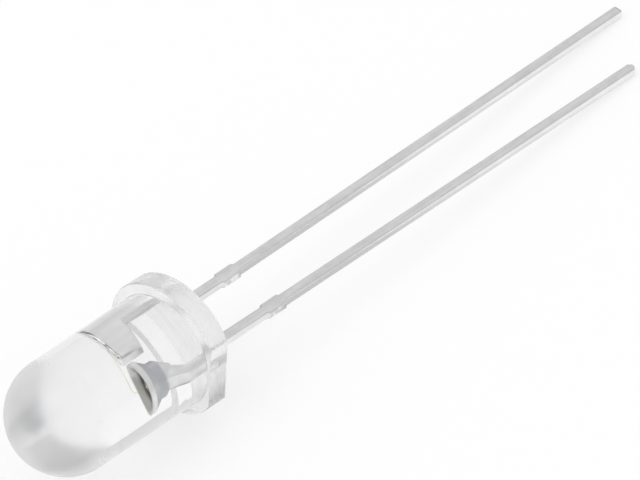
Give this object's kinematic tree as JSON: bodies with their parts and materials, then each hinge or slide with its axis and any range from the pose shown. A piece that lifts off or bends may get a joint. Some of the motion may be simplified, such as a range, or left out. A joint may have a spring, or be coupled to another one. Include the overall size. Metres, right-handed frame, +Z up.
{
  "type": "through hole led",
  "caption": "Water-clear light-emitting diode with a domed round barrel, a flange with a flat, and straight square leads for a drilled circuit board.",
  "frame": {"origin": "on the ground under the middle of the whole diode as it lies at rest", "axes": "+X along the leads on the ground, away from the lens; +Y towards the anode side; +Z up"},
  "size_m": [0.036, 0.0056, 0.0061],
  "materials": {
    "lens": "water-clear moulded epoxy, glossy",
    "cathode_frame": "stamped iron strip, silver plated inside the lens and tinned on the lead",
    "anode_frame": "stamped iron strip, silver plated inside the lens and tinned on the lead",
    "die": "sawn semiconductor crystal with a polished top",
    "die_adhesive": "cured silver-filled adhesive",
    "bond_wire": "bare gold wire"
  },
  "bodies": {
    "root": {"lens": "lens", "cathode_frame": "cathode_frame", "anode_frame": "anode_frame", "die": "die", "die_adhesive": "die_adhesive", "bond_wire": "bond_wire"}
  },
  "joints": []
}
